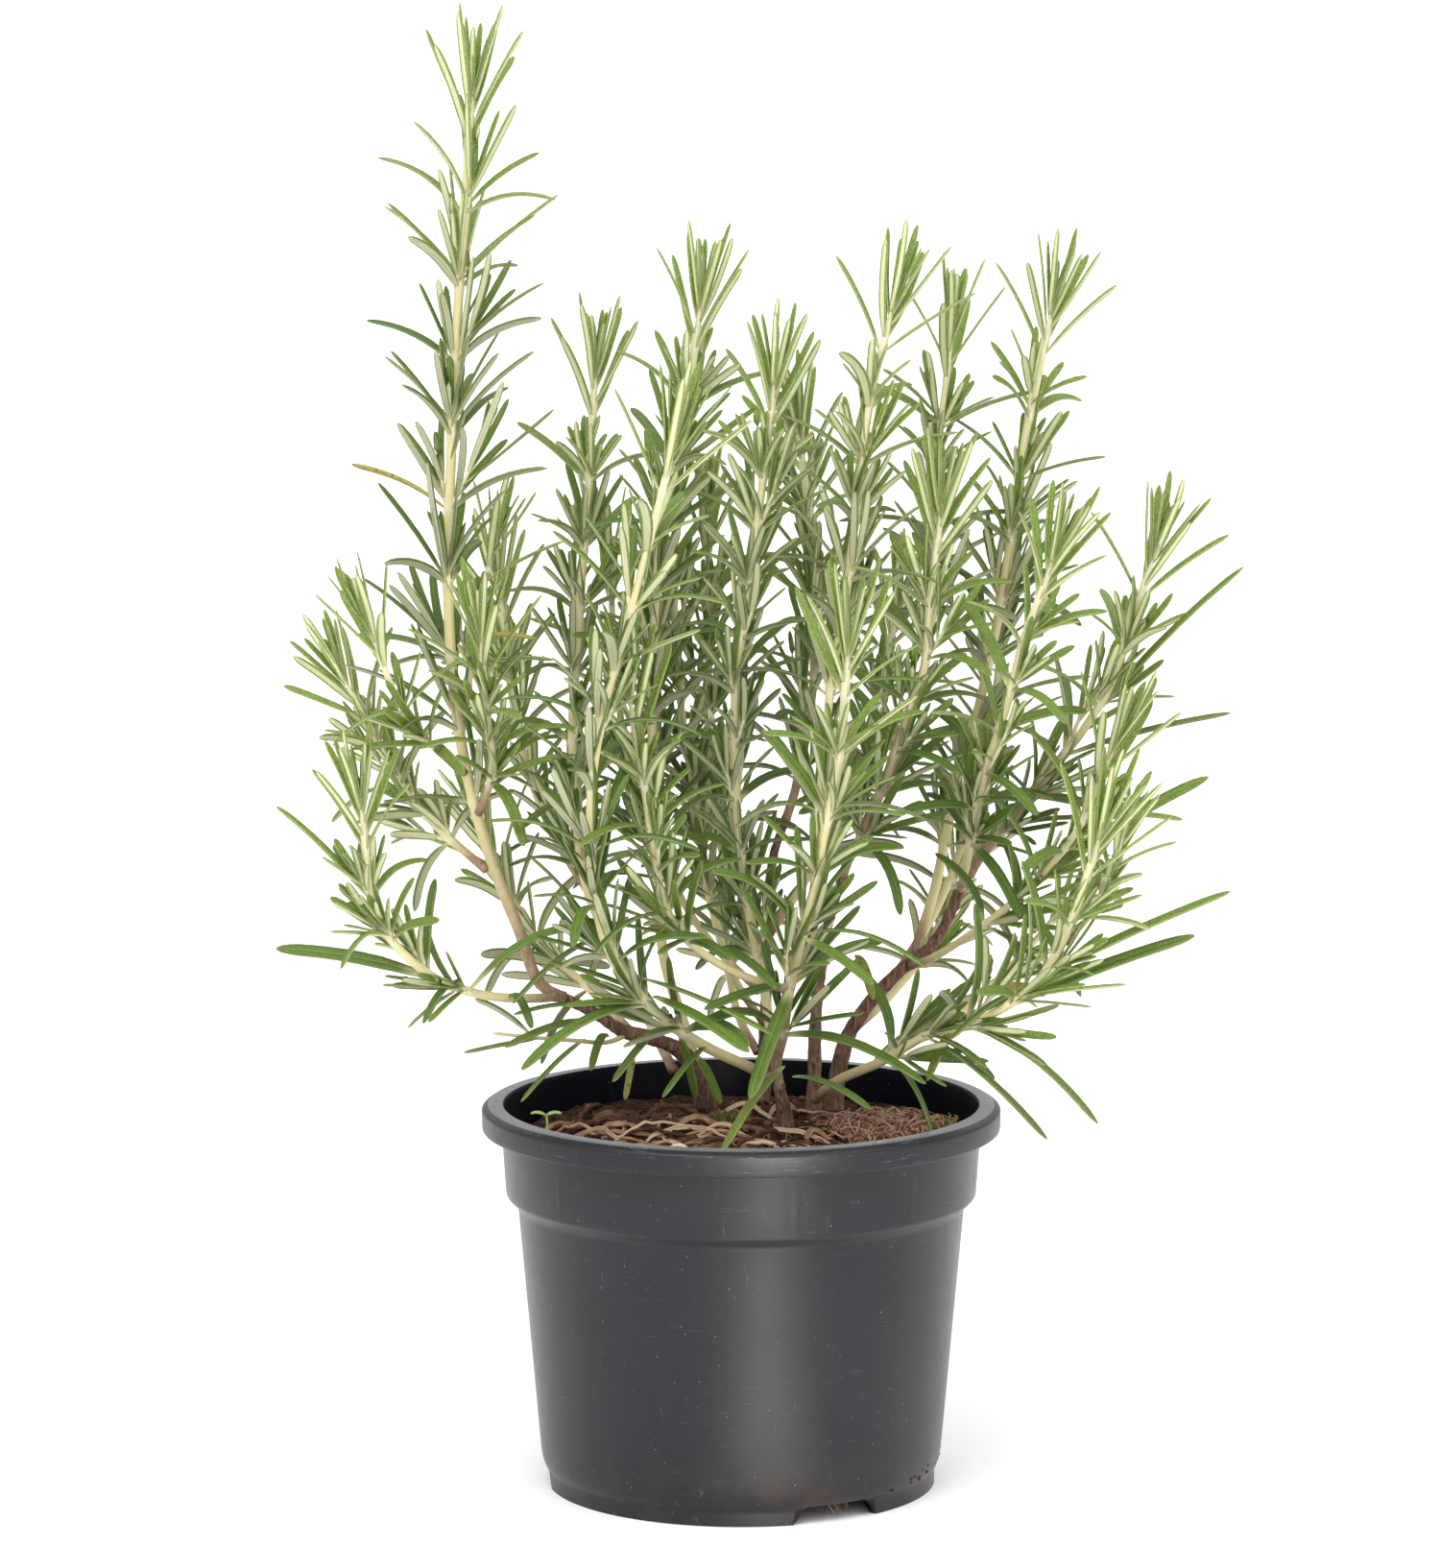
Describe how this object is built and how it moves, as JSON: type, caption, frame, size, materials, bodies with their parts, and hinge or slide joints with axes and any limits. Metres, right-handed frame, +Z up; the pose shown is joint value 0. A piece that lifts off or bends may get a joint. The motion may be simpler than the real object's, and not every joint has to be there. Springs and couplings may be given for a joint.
{
  "type": "potted rosemary plant",
  "caption": "Bushy upright rosemary with narrow leaves, growing in a dark round plastic nursery pot filled with peat.",
  "frame": {"origin": "on the surface that the pot stands on, under the middle of the whole plant's footprint box", "axes": "+Z up, -Y towards the front that the plant is seen from, +X to the right seen from the front"},
  "size_m": [0.2536, 0.1688, 0.397],
  "materials": {
    "pot": "black injection-moulded polypropylene, satin, with fine scuffs and dust",
    "peat": "dark fibrous peat",
    "wood": "rough red-brown bark",
    "shoot": "leathery green leaves, pale and felted below, on soft cream-green stems",
    "litter": "dry, matt",
    "fibre": "matted root and peat fibre",
    "moss": "soft, matt",
    "seedling": "smooth, slightly glossy"
  },
  "bodies": {
    "root": {"back_mid_left_shoot": "shoot", "back_middle_shoot": "shoot", "back_wood": "wood", "crown_left_shoot": "shoot", "crown_mid_left_shoot": "shoot", "crown_middle_shoot": "shoot", "crown_right_shoot": "shoot", "fallen_needle_1": "litter", "fallen_needle_2": "litter", "fallen_needle_3": "litter", "fallen_needle_4": "litter", "fibre_mat": "fibre", "front_inner_shoot": "shoot", "front_left_shoot": "shoot", "front_right_shoot": "shoot", "front_wood": "wood", "left_fan_shoot": "shoot", "left_inner_shoot": "shoot", "left_low_shoot": "shoot", "left_outer_shoot": "shoot", "left_spur_shoot": "shoot", "left_tall_shoot": "shoot", "left_wood": "wood", "middle_wood": "wood", "moss_back": "moss", "moss_front": "moss", "moss_right": "moss", "pot": "pot", "rear_crown_shoot": "shoot", "rear_left_shoot": "shoot", "rear_left_side_shoot": "shoot", "rear_low_left_shoot": "shoot", "rear_low_right_shoot": "shoot", "rear_low_shoot": "shoot", "rear_mid_right_shoot": "shoot", "rear_right_shoot": "shoot", "right_front_shoot": "shoot", "right_inner_shoot": "shoot", "right_low_shoot": "shoot", "right_outer_shoot": "shoot", "right_side_shoot": "shoot", "right_tall_shoot": "shoot", "right_tip_shoot": "shoot", "right_trail_shoot": "shoot", "right_upper_shoot": "shoot", "right_wood": "wood", "root_ball": "peat", "root_curl": "litter", "seedling": "seedling"}
  },
  "joints": []
}
